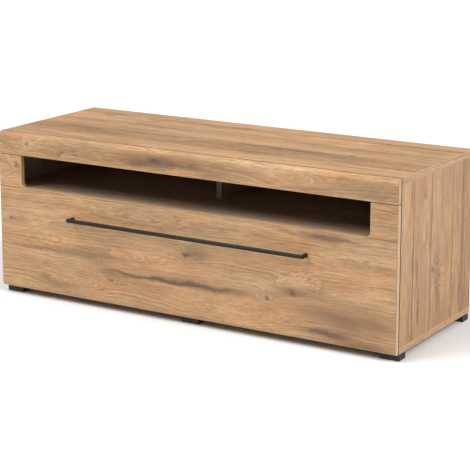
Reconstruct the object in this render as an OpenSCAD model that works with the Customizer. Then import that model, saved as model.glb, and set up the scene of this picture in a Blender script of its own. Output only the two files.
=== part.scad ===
// Low media cabinet: an open niche across the front above one full-width drawer.
// Millimetres, +Z up. The front looks towards -Y. The origin is on the floor, in the
// middle of the rectangle that the cabinet and its handle cover.

/* [Cabinet] */
// Overall width
cabinet_w = 1380; // [1200:10:1600]
// Depth from the front face to the back edges, without the handle
cabinet_d = 500; // [500:5:600]
// Height of the top surface above the floor
cabinet_h = 520; // [500:5:600]
// Thickness of the carcass boards
board_t = 18; // [16:1:22]
// Thickness of the hardboard back
back_t = 3; // [3:0.5:5]
// Distance of the back panel from the rear edges
back_inset = 10; // [8:1:16]

/* [Fronts] */
// Thickness of the top rail and of the drawer front
front_t = 18; // [18:1:22]
// Shadow gap between the fronts and the carcass
front_gap = 5; // [1.5:0.5:5]
// Height of the fixed top rail
rail_h = 70; // [50:5:90]
// Gap between the rail and the drawer front
seam_gap = 2; // [1.5:0.5:3]
// Radius along the rail's top edge and the drawer front's bottom edge
edge_r = 17; // [6:1:17]
// Width of the drawer front beside the cut-out
ear_w = 84; // [60:2:110]
// Height of the cut-out's lower edge above the floor
cutout_z = 348; // [320:2:380]
// Radius of the cut-out's lower corners
cutout_r = 16; // [8:1:24]

/* [Niche] */
// Distance of the divider's front edge behind the front face
divider_setback = 190; // [60:5:240]

/* [Handle] */
// Length of the handle
handle_l = 825; // [400:5:1000]
// Distance from the front face to the handle's outer face
handle_out = 30; // [26:1:40]
// Depth of the bar
bar_d = 10; // [8:1:12]
// Height of the bar
bar_h = 11; // [8:1:14]
// Height of the bar's middle above the floor
handle_z = 272; // [230:2:300]

/* [Feet] */
// Size of a foot along the width
foot_w = 60; // [40:5:80]
// Size of a foot along the depth
foot_d = 40; // [30:5:60]
// Height of a foot
foot_h = 20; // [15:1:30]

/* [Drawer] */
// Thickness of the drawer box boards
box_t = 16; // [12:1:18]
// Height of the drawer box
box_h = 180; // [140:10:200]
// Depth of the drawer box
box_d = 450; // [400:10:450]
// Height of the drawer box above the bottom panel
box_lift = 20; // [16:1:30]
// Thickness of the drawer bottom
drawer_bottom_t = 4; // [3:0.5:6]
// Length of the drawer slides
slide_l = 450; // [400:10:450]
// Thickness of a closed slide, from cabinet side to drawer side
slide_t = 12.7; // [12.7:0.1:13.5]

/* [Hidden] */
$fn = 48;

oak = "#b98d5c";
black = "#26282a";
steel = "#b8bcc0";
hardboard = "#cbbfae";
box_white = "#e6e3dc";
beech = "#d9b98a";
rubber_clear = "#d8d8d4";

// Turns that point a +Z shape along each axis
to_right = [0, 90, 0];
to_left = [0, -90, 0];
to_back = [-90, 0, 0];
to_front = [90, 0, 0];
up = [0, 0, 0];
down = [180, 0, 0];

// Planes and edges
half_w = cabinet_w / 2;
front_y = handle_out - (cabinet_d + handle_out) / 2;
rear_y = front_y + cabinet_d;
front_back_y = front_y + front_t;
carcass_y = front_back_y + front_gap;
inner_x = half_w - board_t;
under_top_z = cabinet_h - board_t;
bottom_top_z = foot_h + board_t;
rail_z = cabinet_h - rail_h;
drawer_front_top = rail_z - seam_gap;
shelf_top = cutout_z - 1;
divider_y = front_y + divider_setback;

// Back panel and its grooves
groove_depth = 8;
groove_play = 0.2;
groove_end_play = 1;
back_y = rear_y - back_inset - back_t;
shelf_rear_y = back_y - 1;
back_screw_xs = [-500, -250, 250, 500];
back_screw_r = 1.75;
back_screw_l = 20;
pan_head_r = 4;
pan_head_t = 1.8;

// Cam fittings and dowels: a bolt screwed into one board is drawn in by a cam in the other
cam_r = 7.5;
cam_depth = 12.5;
cam_offset = 34;
cam_slot_l = 10;
cam_slot_w = 1.6;
cam_slot_depth = 1.5;
bolt_r = 3;
bolt_thread = 11;
bolt_head_r = 3.4;
bolt_head_l = 4;
bolt_stem_l = cam_offset - cam_r - bolt_head_l - 0.5;
dowel_r = 4;
dowel_l = 30;
dowel_bite = 10.5;
divider_dowel_l = 20;
play = 0.1;
carcass_cam_ys = [carcass_y + 45, carcass_y + 240, carcass_y + 425];
carcass_dowel_ys = [carcass_y + 77, carcass_y + 393];
rail_cam_xs = [-540, -180, 180, 540];
rail_dowel_xs = [-600, -360, 360, 600];
rail_joint_z = cabinet_h - board_t / 2;
spacer_r = 8;
divider_dowel_ys = [divider_y + 60, divider_y + 220];

// Feet
foot_inset_front = 25;
foot_inset_rear = 5;
foot_ys = [front_y + foot_inset_front, rear_y - foot_inset_rear - foot_d];
foot_xs = [-half_w, -foot_w / 2, half_w - foot_w];
foot_screw_r = 2;
foot_screw_head_r = 4;
foot_screw_head_t = 3;
foot_screw_inset = 15;
foot_screw_recess = 2;
foot_screw_bite = 12;
foot_screw_l = foot_h - foot_screw_recess - 1 + foot_screw_bite;

// Drawer box
box_half = inner_x - slide_t;
box_z = bottom_top_z + box_lift;
box_y = front_back_y;
box_back_y = box_y + box_d;
bottom_groove_z = box_z + 10;
bottom_groove_depth = 6;
batten_w = 80;
batten_t = 9.8;
batten_fixing_xs = [-20, 20];
batten_dowel_r = 3;
batten_screw_r = 2;
batten_screw_l = 40;
drawer_dowel_bite = 10;
drawer_cam_zs = [box_z + 40, box_z + 140];
drawer_dowel_z = box_z + 90;
confirmat_r = 3;
confirmat_head_r = 5;
confirmat_head_t = 3;
confirmat_l = 48;
confirmat_zs = [box_z + 50, box_z + 130];

// Drawer slides: three nested channels, measured from the cabinet side towards the drawer
slide_z = box_z + box_h / 2;
slide_steel = 1.2;
outer_half = 22.5;
outer_flange = 10;
middle_half = 19;
middle_start = 3.2;
middle_end = 11;
inner_half = 15.5;
inner_start = 5.6;
slide_front_y = carcass_y + 2;
slide_screw_steps = [0.08, 0.36, 0.64, 0.92];
slide_screw_r = 1.75;
slide_head_r = 3.5;
slide_head_t = 1.4;
slide_screw_bite = 12;

// Handle
post_w = 10;
handle_y = front_y - handle_out;
post_x = handle_l / 2 - post_w / 2;
handle_screw_r = 2;
handle_screw_bite = 12;
handle_head_r = 4;
handle_head_t = 2.4;

// Bumpers on the carcass edges
bumper_r = 4;
bumper_t = front_gap - 0.2;
bumper_zs = [foot_h + 60, drawer_front_top - 30];

// A box between two corners
module block(low, high) {
    translate(low) cube(high - low);
}

// A cylinder from a point along +X, -X, +Y, +Z or -Z
module rod(start, r, l, turn) {
    translate(start) rotate(turn) cylinder(r = r, h = l);
}
// A cam: a disc with a cross slot in its open face
module cam(centre, turn) {
    translate(centre) rotate(turn) difference() {
        cylinder(r = cam_r, h = cam_depth);
        for (a = [0, 90])
            rotate(a) translate([-cam_slot_l / 2, -cam_slot_w / 2, cam_depth - cam_slot_depth])
                cube([cam_slot_l, cam_slot_w, cam_slot_depth + 1]);
    }
}

// A cam bolt: thread in one board, then a stem and a ball head towards the cam
module cam_bolt(joint, turn, back_turn, gap = 0) {
    rod(joint, bolt_r, bolt_thread, turn);
    rod(joint, bolt_r, bolt_stem_l + gap, back_turn);
    translate(joint) rotate(back_turn) translate([0, 0, bolt_stem_l + gap])
        cylinder(r = bolt_head_r, h = bolt_head_l);
}

// Holes for a cam bolt: thread hole on one side of the joint, stem hole up to the cam
module bolt_hole(joint, turn) {
    rod(joint, bolt_r + play, bolt_thread + play, turn);
}
module stem_hole(joint, turn) {
    rod(joint, bolt_head_r + play, cam_offset, turn);
}
module cam_hole(centre, turn) {
    rod(centre, cam_r + play, cam_depth + play, turn);
}

// Places of the vertical joints between a side and the top or bottom panel
module at_side_joints(ys) {
    for (sx = [-1, 1], y = ys)
        translate([sx * (half_w - board_t / 2), y, 0]) children();
}

// Dowels across the joint at height z, with their short end towards the panel
module side_joint_dowels(z, extra) {
    below = z > cabinet_h / 2 ? dowel_l - dowel_bite : dowel_bite;
    at_side_joints(carcass_dowel_ys)
        translate([0, 0, z - below - extra]) cylinder(r = dowel_r + extra, h = dowel_l + 2 * extra);
}

module carcass_vertical_holes(z, into_panel, into_side) {
    at_side_joints(carcass_cam_ys) {
        bolt_hole([0, 0, z], into_panel);
        stem_hole([0, 0, z], into_side);
    }
    side_joint_dowels(z, play);
}

module back_groove() {
    block([-inner_x - groove_depth, back_y - groove_play, bottom_top_z - groove_depth],
          [inner_x + groove_depth, back_y + back_t + groove_play, under_top_z + groove_depth]);
}

module shelf_joint_holes() {
    for (sx = [-1, 1], y = carcass_cam_ys) {
        bolt_hole([sx * inner_x, y, shelf_top - board_t / 2], sx > 0 ? to_right : to_left);
        stem_hole([sx * inner_x, y, shelf_top - board_t / 2], sx > 0 ? to_left : to_right);
    }
}

// Dowels above and below the divider
module divider_dowels(extra) {
    for (y = divider_dowel_ys, z = [under_top_z, shelf_top])
        translate([0, y, z - divider_dowel_l / 2 - extra])
            cylinder(r = dowel_r + extra, h = divider_dowel_l + 2 * extra);
}

module rail_joint_holes() {
    for (x = rail_cam_xs) {
        bolt_hole([x, front_back_y, rail_joint_z], to_front);
        stem_hole([x, carcass_y, rail_joint_z], to_back);
    }
    rail_dowel_pins(play);
}

module rail_dowel_pins(extra) {
    for (x = rail_dowel_xs)
        rod([x, front_back_y - dowel_bite - extra, rail_joint_z],
            dowel_r + extra, dowel_l + 2 * extra, to_back);
}

module top_panel() {
    color(oak) difference() {
        block([-half_w, carcass_y, under_top_z], [half_w, rear_y, cabinet_h]);
        carcass_vertical_holes(under_top_z, up, down);
        back_groove();
        rail_joint_holes();
        divider_dowels(play);
        for (x = rail_cam_xs)
            cam_hole([x, carcass_y + cam_offset, under_top_z - play], up);
    }
}

module bottom_panel() {
    color(oak) difference() {
        block([-half_w, carcass_y, foot_h], [half_w, rear_y, bottom_top_z]);
        carcass_vertical_holes(bottom_top_z, down, up);
        back_groove();
        foot_screw_shafts(play);
    }
}

// One side panel, sx = -1 for the left and 1 for the right
module side_panel(sx) {
    color(oak) difference() {
        block([sx > 0 ? inner_x : -half_w, carcass_y, bottom_top_z],
              [sx > 0 ? half_w : -inner_x, rear_y, under_top_z]);
        carcass_vertical_holes(under_top_z, up, down);
        carcass_vertical_holes(bottom_top_z, down, up);
        back_groove();
        shelf_joint_holes();
        for (y = carcass_cam_ys, z = [under_top_z - cam_offset, bottom_top_z + cam_offset])
            cam_hole([sx * (inner_x - play), y, z], sx > 0 ? to_right : to_left);
        for (t = slide_screw_steps)
            rod([sx * inner_x, slide_front_y + t * slide_l, slide_z],
                slide_screw_r + play, slide_screw_bite + play, sx > 0 ? to_right : to_left);
    }
}
module left_side() side_panel(-1);
module right_side() side_panel(1);

module niche_shelf() {
    color(oak) difference() {
        block([-inner_x, carcass_y, shelf_top - board_t], [inner_x, shelf_rear_y, shelf_top]);
        shelf_joint_holes();
        divider_dowels(play);
        for (sx = [-1, 1], y = carcass_cam_ys)
            cam_hole([sx * (inner_x - cam_offset), y, shelf_top - board_t - play], up);
        back_screw_shafts(play);
    }
}

module niche_divider() {
    color(oak) difference() {
        block([-board_t / 2, divider_y, shelf_top], [board_t / 2, shelf_rear_y, under_top_z]);
        divider_dowels(play);
        back_screw_shafts(play);
    }
}

// Places of the screws that hold the back to the shelf and to the divider
module at_back_screws() {
    for (x = back_screw_xs)
        translate([x, back_y + back_t, shelf_top - board_t / 2]) children();
    translate([0, back_y + back_t, (shelf_top + under_top_z) / 2]) children();
}
module back_screw_shafts(extra) {
    at_back_screws() rotate(to_front) cylinder(r = back_screw_r + extra, h = back_screw_l + extra);
}

module back_panel() {
    edge = groove_depth - groove_end_play;
    color(hardboard) difference() {
        block([-inner_x - edge, back_y, bottom_top_z - edge],
              [inner_x + edge, back_y + back_t, under_top_z + edge]);
        back_screw_shafts(play);
    }
}

module back_panel_screws() {
    color(steel) {
        back_screw_shafts(0);
        at_back_screws() rotate(to_back) cylinder(r = pan_head_r, h = pan_head_t);
    }
}

// Section of the rail: y to the back, z up, with the outer top edge rounded
module rail_section() {
    difference() {
        translate([front_y, rail_z]) square([front_t, rail_h]);
        translate([front_y, cabinet_h - edge_r]) difference() {
            translate([-1, 0]) square([edge_r + 1, edge_r + 1]);
            translate([edge_r, 0]) circle(r = edge_r);
        }
    }
}

// Turns a section drawn in (y, z) into a bar along X
module along_x(x0, x1) {
    translate([x0, 0, 0]) rotate([90, 0, 90]) linear_extrude(height = x1 - x0) children();
}

module top_rail() {
    color(oak) difference() {
        along_x(-half_w, half_w) rail_section();
        rail_joint_holes();
    }
}

module rail_spacers() {
    color(black)
        for (x = rail_cam_xs) difference() {
            rod([x, front_back_y, rail_joint_z], spacer_r, front_gap, to_back);
            rod([x, front_back_y - 1, rail_joint_z], bolt_head_r + play, front_gap + 2, to_back);
        }
}

module rail_cams() {
    color(steel)
        for (x = rail_cam_xs)
            cam([x, carcass_y + cam_offset, under_top_z + cam_depth], down);
}

module rail_bolts() {
    color(steel)
        for (x = rail_cam_xs)
            cam_bolt([x, front_back_y, rail_joint_z], to_front, to_back, front_gap);
}

module rail_dowels() {
    color(beech) rail_dowel_pins(0);
}

module carcass_cams() {
    color(steel) {
        for (sx = [-1, 1], y = carcass_cam_ys, z = [under_top_z - cam_offset, bottom_top_z + cam_offset])
            cam([sx * (inner_x + cam_depth), y, z], sx > 0 ? to_left : to_right);
        for (sx = [-1, 1], y = carcass_cam_ys)
            cam([sx * (inner_x - cam_offset), y, shelf_top - board_t + cam_depth], down);
    }
}

module carcass_bolts() {
    color(steel) {
        at_side_joints(carcass_cam_ys) {
            cam_bolt([0, 0, under_top_z], up, down);
            cam_bolt([0, 0, bottom_top_z], down, up);
        }
        for (sx = [-1, 1], y = carcass_cam_ys)
            cam_bolt([sx * inner_x, y, shelf_top - board_t / 2],
                     sx > 0 ? to_right : to_left, sx > 0 ? to_left : to_right);
    }
}

module carcass_dowels() {
    color(beech) {
        side_joint_dowels(under_top_z, 0);
        side_joint_dowels(bottom_top_z, 0);
        divider_dowels(0);
    }
}

module front_bumpers() {
    color(rubber_clear)
        for (sx = [-1, 1], z = bumper_zs)
            rod([sx * (half_w - board_t / 2), carcass_y, z], bumper_r, bumper_t, to_front);
}

// One foot: a block with two countersunk screw holes in its sole
module foot(x, y) {
    color(black) difference() {
        block([x, y, 0], [x + foot_w, y + foot_d, foot_h]);
        foot_screw_shafts(play);
        foot_screw_pockets();
    }
}
module foot_front_left() foot(foot_xs[0], foot_ys[0]);
module foot_front_middle() foot(foot_xs[1], foot_ys[0]);
module foot_front_right() foot(foot_xs[2], foot_ys[0]);
module foot_rear_left() foot(foot_xs[0], foot_ys[1]);
module foot_rear_middle() foot(foot_xs[1], foot_ys[1]);
module foot_rear_right() foot(foot_xs[2], foot_ys[1]);

module at_foot_screws() {
    for (x = foot_xs, y = foot_ys, dx = [foot_screw_inset, foot_w - foot_screw_inset])
        translate([x + dx, y + foot_d / 2, 0]) children();
}
module foot_screw_shafts(extra) {
    at_foot_screws() translate([0, 0, foot_screw_recess + 1])
        cylinder(r = foot_screw_r + extra, h = foot_screw_l + extra);
}
module foot_screw_pockets() {
    at_foot_screws() translate([0, 0, -1])
        cylinder(r = foot_screw_head_r + play, h = 1 + foot_screw_recess + foot_screw_head_t);
}
module foot_screws() {
    color(steel) {
        foot_screw_shafts(0);
        at_foot_screws() translate([0, 0, foot_screw_recess])
            cylinder(r = foot_screw_head_r, h = foot_screw_head_t);
    }
}

// A channel along the depth: a web between two flanges, s = 1 opens towards the drawer.
// a and b are its two edges measured from the cabinet side, and half is half its height.
module channel(sx, a, b, half, web_at_a, y0, l) {
    module face(p, q, z0, z1) {
        near = sx * (inner_x - p);
        far = sx * (inner_x - q);
        block([min(near, far), y0, z0], [max(near, far), y0 + l, z1]);
    }
    face(a, b, slide_z + half - slide_steel, slide_z + half);
    face(a, b, slide_z - half, slide_z - half + slide_steel);
    if (web_at_a)
        face(a, a + slide_steel, slide_z - half, slide_z + half);
    else
        face(b - slide_steel, b, slide_z - half, slide_z + half);
}

module cabinet_slide(sx) {
    color(steel) difference() {
        channel(sx, 0, outer_flange, outer_half, true, slide_front_y, slide_l);
        cabinet_screw_shafts(sx, play);
    }
}
module left_cabinet_slide() cabinet_slide(-1);
module right_cabinet_slide() cabinet_slide(1);

module cabinet_screw_shafts(sx, extra) {
    for (t = slide_screw_steps)
        rod([sx * (inner_x - slide_steel - 0.1), slide_front_y + t * slide_l, slide_z],
            slide_screw_r + extra, slide_screw_bite + slide_steel, sx > 0 ? to_right : to_left);
}

module cabinet_slide_screws() {
    color(steel) for (sx = [-1, 1]) {
        cabinet_screw_shafts(sx, 0);
        for (t = slide_screw_steps)
            rod([sx * (inner_x - slide_steel), slide_front_y + t * slide_l, slide_z],
                slide_head_r, slide_head_t, sx > 0 ? to_left : to_right);
    }
}

module middle_slide(sx) {
    color(steel)
        channel(sx, middle_start, middle_end, middle_half, true, slide_front_y + 1, slide_l - 2);
}
module left_middle_slide() middle_slide(-1);
module right_middle_slide() middle_slide(1);

module drawer_slide(sx) {
    color(steel) difference() {
        channel(sx, inner_start, slide_t, inner_half, false, slide_front_y, slide_l - 4);
        drawer_screw_shafts(sx, play);
    }
}
module left_drawer_slide() drawer_slide(-1);
module right_drawer_slide() drawer_slide(1);

module drawer_screw_shafts(sx, extra) {
    for (t = slide_screw_steps)
        rod([sx * (box_half + slide_steel + 0.1), slide_front_y + t * (slide_l - 4), slide_z],
            slide_screw_r + extra, slide_screw_bite + slide_steel, sx > 0 ? to_left : to_right);
}

module drawer_slide_screws() {
    color(steel) for (sx = [-1, 1]) {
        drawer_screw_shafts(sx, 0);
        for (t = slide_screw_steps)
            rod([sx * (box_half + slide_steel), slide_front_y + t * (slide_l - 4), slide_z],
                slide_head_r, slide_head_t, sx > 0 ? to_right : to_left);
    }
}

// Section of the drawer front: y to the back, z up, with the outer bottom edge rounded
module drawer_front_section() {
    difference() {
        translate([front_y, foot_h]) square([front_t, drawer_front_top - foot_h]);
        translate([front_y, foot_h + edge_r]) difference() {
            translate([-1, -edge_r - 1]) square([edge_r + 1, edge_r + 1]);
            translate([edge_r, 0]) circle(r = edge_r);
        }
    }
}

// The cut-out is open at the top and has round lower corners
module cutout() {
    reach = half_w - ear_w;
    corner_x = reach - cutout_r;
    block([-reach, front_y - 1, cutout_z + cutout_r], [reach, front_back_y + 1, cabinet_h]);
    block([-corner_x, front_y - 1, cutout_z], [corner_x, front_back_y + 1, cabinet_h]);
    for (sx = [-1, 1])
        rod([sx * corner_x, front_y - 1, cutout_z + cutout_r], cutout_r, front_t + 2, to_back);
}

module drawer_front() {
    color(oak) difference() {
        along_x(-half_w, half_w) drawer_front_section();
        cutout();
        for (sx = [-1, 1]) {
            rod([sx * post_x, front_y - 1, handle_z], handle_screw_r + play, front_t + 2, to_back);
            for (z = drawer_cam_zs)
                bolt_hole([sx * (box_half - box_t / 2), box_y, z], to_front);
        }
        drawer_dowel_pins(play);
        drawer_bottom_slot();
    }
}

module drawer_bottom_slot() {
    reach = box_half - box_t + bottom_groove_depth;
    block([-reach, box_y - bottom_groove_depth, bottom_groove_z - groove_play],
          [reach, box_back_y - box_t + bottom_groove_depth,
           bottom_groove_z + drawer_bottom_t + groove_play]);
}

// Pins between the front and the drawer sides, and between the front and the batten
module drawer_dowel_pins(extra) {
    for (sx = [-1, 1])
        rod([sx * (box_half - box_t / 2), box_y - drawer_dowel_bite - extra, drawer_dowel_z],
            dowel_r + extra, dowel_l + 2 * extra, to_back);
    for (x = batten_fixing_xs)
        rod([x, box_y - drawer_dowel_bite - extra, box_z + batten_t / 2],
            batten_dowel_r + extra, dowel_l + 2 * extra, to_back);
}

module drawer_side(sx) {
    color(box_white) difference() {
        block([sx > 0 ? box_half - box_t : -box_half, box_y, box_z],
              [sx > 0 ? box_half : -box_half + box_t, box_back_y, box_z + box_h]);
        drawer_bottom_slot();
        drawer_dowel_pins(play);
        drawer_screw_shafts(sx, play);
        confirmat_shafts(play);
        for (z = drawer_cam_zs) {
            stem_hole([sx * (box_half - box_t / 2), box_y, z], to_back);
            cam_hole([sx * (box_half - box_t - play), box_y + cam_offset, z], sx > 0 ? to_right : to_left);
        }
    }
}
module drawer_left_side() drawer_side(-1);
module drawer_right_side() drawer_side(1);

// Thick screws through the drawer sides into the ends of the drawer back
module confirmat_shafts(extra) {
    for (sx = [-1, 1], z = confirmat_zs)
        translate([sx * box_half, box_back_y - box_t / 2, z]) rotate(sx > 0 ? to_left : to_right) {
            cylinder(r = confirmat_r + extra, h = confirmat_l + extra);
            cylinder(r = confirmat_head_r + extra, h = confirmat_head_t + extra);
        }
}

module drawer_back() {
    color(box_white) difference() {
        block([-box_half + box_t, box_back_y - box_t, box_z], [box_half - box_t, box_back_y, box_z + box_h]);
        drawer_bottom_slot();
        confirmat_shafts(play);
        batten_screw_shafts(play);
    }
}

module drawer_bottom() {
    edge = bottom_groove_depth - groove_end_play;
    color(box_white)
        block([-box_half + box_t - edge, box_y - edge, bottom_groove_z],
              [box_half - box_t + edge, box_back_y - box_t + edge, bottom_groove_z + drawer_bottom_t]);
}

module batten_screw_shafts(extra) {
    for (x = batten_fixing_xs)
        rod([x, box_back_y, box_z + batten_t / 2], batten_screw_r + extra, batten_screw_l + extra, to_front);
}

module drawer_batten() {
    color(box_white) difference() {
        block([-batten_w / 2, box_y, box_z], [batten_w / 2, box_back_y - box_t, box_z + batten_t]);
        drawer_dowel_pins(play);
        batten_screw_shafts(play);
    }
}

module drawer_cams() {
    color(steel)
        for (sx = [-1, 1], z = drawer_cam_zs)
            cam([sx * (box_half - box_t + cam_depth), box_y + cam_offset, z], sx > 0 ? to_left : to_right);
}

module drawer_bolts() {
    color(steel)
        for (sx = [-1, 1], z = drawer_cam_zs)
            cam_bolt([sx * (box_half - box_t / 2), box_y, z], to_front, to_back);
}

module drawer_dowels() {
    color(beech) drawer_dowel_pins(0);
}

module drawer_screws() {
    color(steel) {
        confirmat_shafts(0);
        batten_screw_shafts(0);
        for (x = batten_fixing_xs)
            rod([x, box_back_y, box_z + batten_t / 2], pan_head_r, pan_head_t, to_back);
    }
}

module handle_bar() {
    color(black)
        block([-handle_l / 2, handle_y, handle_z - bar_h / 2],
              [handle_l / 2, handle_y + bar_d, handle_z + bar_h / 2]);
}

module handle_post(sx) {
    color(black) difference() {
        block([sx * post_x - post_w / 2, handle_y + bar_d, handle_z - bar_h / 2],
              [sx * post_x + post_w / 2, front_y, handle_z + bar_h / 2]);
        rod([sx * post_x, front_y + 1, handle_z],
            handle_screw_r + play, handle_screw_bite + 1 + play, to_front);
    }
}
module handle_left_post() handle_post(-1);
module handle_right_post() handle_post(1);

module handle_screws() {
    color(steel)
        for (sx = [-1, 1]) {
            rod([sx * post_x, front_back_y, handle_z], handle_screw_r, front_t + handle_screw_bite, to_front);
            rod([sx * post_x, front_back_y, handle_z], handle_head_r, handle_head_t, to_back);
        }
}

top_panel();
bottom_panel();
left_side();
right_side();
niche_shelf();
niche_divider();
back_panel();
back_panel_screws();
top_rail();
rail_spacers();
rail_cams();
rail_bolts();
rail_dowels();
carcass_cams();
carcass_bolts();
carcass_dowels();
front_bumpers();
foot_front_left();
foot_front_middle();
foot_front_right();
foot_rear_left();
foot_rear_middle();
foot_rear_right();
foot_screws();
left_cabinet_slide();
right_cabinet_slide();
cabinet_slide_screws();
left_middle_slide();
right_middle_slide();
drawer_front();
drawer_left_side();
drawer_right_side();
drawer_back();
drawer_bottom();
drawer_batten();
drawer_cams();
drawer_bolts();
drawer_dowels();
drawer_screws();
left_drawer_slide();
right_drawer_slide();
drawer_slide_screws();
handle_bar();
handle_left_post();
handle_right_post();
handle_screws();
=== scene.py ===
# %% [markdown]
# # A low television cabinet in knotty oak decor
#
# The cabinet is a flat box of decor-faced boards on six block feet. One wide drawer fills the lower
# part, its front is cut out in a U around an open niche, and a separate rail closes the top of the
# front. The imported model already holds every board, slide and fitting at its real size and place.
# This script keeps that frame and gives each piece the surface that is seen: rounded board edges,
# wood figure that runs the way each board was cut, satin metal, moulded plastic.

# %% Load the frame
import math

import bpy
import numpy as np
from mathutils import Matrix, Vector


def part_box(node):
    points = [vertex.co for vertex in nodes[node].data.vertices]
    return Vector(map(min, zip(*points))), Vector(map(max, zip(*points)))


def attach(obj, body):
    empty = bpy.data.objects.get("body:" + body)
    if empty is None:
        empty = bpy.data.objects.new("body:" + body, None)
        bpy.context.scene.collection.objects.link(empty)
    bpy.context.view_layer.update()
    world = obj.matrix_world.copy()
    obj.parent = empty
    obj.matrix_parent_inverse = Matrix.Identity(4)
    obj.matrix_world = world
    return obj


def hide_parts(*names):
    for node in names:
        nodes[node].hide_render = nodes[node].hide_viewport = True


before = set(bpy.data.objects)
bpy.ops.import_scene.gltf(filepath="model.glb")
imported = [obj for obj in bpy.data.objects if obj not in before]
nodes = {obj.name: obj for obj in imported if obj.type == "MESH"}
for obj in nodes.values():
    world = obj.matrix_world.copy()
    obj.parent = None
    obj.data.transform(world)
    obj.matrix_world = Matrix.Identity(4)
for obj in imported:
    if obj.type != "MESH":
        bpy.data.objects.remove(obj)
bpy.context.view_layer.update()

MM = 0.001

# %% [markdown]
# ## The camera
#
# A long lens from the right, a little above the cabinet, keeps the long edges calm. The camera is
# told what it looks at, from which bearing and how far away, so each number has a meaning. The frame
# is lowered slightly by a small lens shift, as an architectural photographer does to keep upright
# edges from leaning. A tilted camera alone would lean them more, and a large shift would push the
# cabinet out of other views.

# %% Place the camera
AIM = (0.029, 0.0, 0.405)
BEARING = math.radians(31.49)
LOOK_DOWN = math.radians(12.28)
DISTANCE = 5.033
LENS_MM = 127.5
LENS_SHIFT = -0.12

camera_data = bpy.data.cameras.new("studio_camera")
camera_data.lens = LENS_MM
camera_data.sensor_width = 36.0
camera_data.shift_y = LENS_SHIFT
camera = bpy.data.objects.new("studio_camera", camera_data)
bpy.context.scene.collection.objects.link(camera)
level = DISTANCE * math.cos(LOOK_DOWN)
camera.location = (
    AIM[0] + level * math.sin(BEARING),
    AIM[1] - level * math.cos(BEARING),
    AIM[2] + DISTANCE * math.sin(LOOK_DOWN),
)
camera.rotation_euler = (math.pi / 2 - LOOK_DOWN, 0.0, BEARING)
bpy.context.scene.camera = camera
print("camera stands at", [round(c, 3) for c in camera.location])

# %% [markdown]
# ## Floor and light
#
# The cabinet stands on a plain white sweep under soft light. Suns with a wide disc act as large
# diffusers: they light the floor evenly however far it reaches, which near area lights can't do. The
# main one stands high at the left, one to the right fills the cabinet's end, and a dim world keeps the
# inside of the niche dark. The tone curve is the plain one, so that white stays white.

# %% Build the studio
def sun(name, towards, power, disc):
    """A sun seen in the direction towards, with the given strength and disc width in degrees."""
    data = bpy.data.lights.new(name, "SUN")
    data.energy = power
    data.angle = math.radians(disc)
    lamp = bpy.data.objects.new(name, data)
    bpy.context.scene.collection.objects.link(lamp)
    x, y, z = towards
    lamp.rotation_euler = (math.acos(z / math.hypot(x, y, z)), 0.0, math.atan2(x, -y))
    return lamp


sun("key_sun", (-0.37, -0.53, 0.77), 1.95, 35)
sun("side_sun", (0.75, -0.14, 0.64), 1.95, 30)
sun("top_sun", (0.0, 0.1, 1.0), 0.6, 75)

world = bpy.data.worlds.new("studio")
world.use_nodes = True
world.node_tree.nodes["Background"].inputs["Color"].default_value = (0.97, 0.98, 1.0, 1.0)
world.node_tree.nodes["Background"].inputs["Strength"].default_value = 0.40
bpy.context.scene.world = world
bpy.context.scene.view_settings.view_transform = "Standard"

FLOOR_REACH = 60.0
floor_mesh = bpy.data.meshes.new("studio_floor")
floor_mesh.from_pydata(
    [(-FLOOR_REACH, -FLOOR_REACH, 0), (FLOOR_REACH, -FLOOR_REACH, 0),
     (FLOOR_REACH, FLOOR_REACH, 0), (-FLOOR_REACH, FLOOR_REACH, 0)],
    [], [(0, 1, 2, 3)],
)
floor = bpy.data.objects.new("studio_floor", floor_mesh)
bpy.context.scene.collection.objects.link(floor)
floor_paint = bpy.data.materials.new("white_sweep")
floor_paint.use_nodes = True
floor_shader = floor_paint.node_tree.nodes["Principled BSDF"]
floor_shader.inputs["Base Color"].default_value = (0.80, 0.80, 0.80, 1.0)
floor_shader.inputs["Roughness"].default_value = 0.95
floor_shader.inputs["Specular IOR Level"].default_value = 0.0
floor_mesh.materials.append(floor_paint)

# %% [markdown]
# ## From arrays to a piece
#
# Every new piece below ends as three arrays: points, faces, and for each face corner a place on the
# piece's own map called `grain`. The map is in metres, with the first number along the wood fibre and
# the second across it, so a pattern has its true size on every board. A face also has a number for its
# edge: up to 1 where a pale edge band and a painted highlight show, and down to -1 where painted shade
# darkens a rim, or an unbanded front edge as the shade of the joint behind the front. A closed surface
# whose volume comes out negative has its faces the wrong way round, so that one test keeps them all facing
# outwards.

# %% Make a piece from arrays
def signed_volume(points, faces):
    """Volume of a closed surface: the sum over all triangles of a . (b x c) / 6."""
    total = 0.0
    for size in set(map(len, faces)):
        corner = points[np.array([face for face in faces if len(face) == size])]
        total += np.einsum("ij,ikj->", corner[:, 0], np.cross(corner[:, 1:-1], corner[:, 2:]))
    return total / 6.0


def make_piece(name, points, faces, grain, smooth, edge, finishes):
    """A mesh object from points, faces, one map place for each face corner, and one smooth flag and
    band_and_painted_light number for each face. Faces are turned round together when they point inwards."""
    if signed_volume(points, faces) < 0:
        faces = [tuple(reversed(face)) for face in faces]
        grain = [places[::-1] for places in grain]
    mesh = bpy.data.meshes.new(name)
    mesh.from_pydata(points.tolist(), [], faces)
    layer = mesh.uv_layers.new(name="grain")
    layer.data.foreach_set("uv", np.concatenate(grain).astype(np.float32).ravel())
    mesh.polygons.foreach_set("use_smooth", np.asarray(smooth, bool))
    band = mesh.attributes.new("band_and_painted_light", "FLOAT", "FACE")
    band.data.foreach_set("value", np.asarray(edge, np.float32))
    for finish in finishes:
        mesh.materials.append(finish)
    piece = bpy.data.objects.new(name, mesh)
    bpy.context.scene.collection.objects.link(piece)
    return piece


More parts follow.
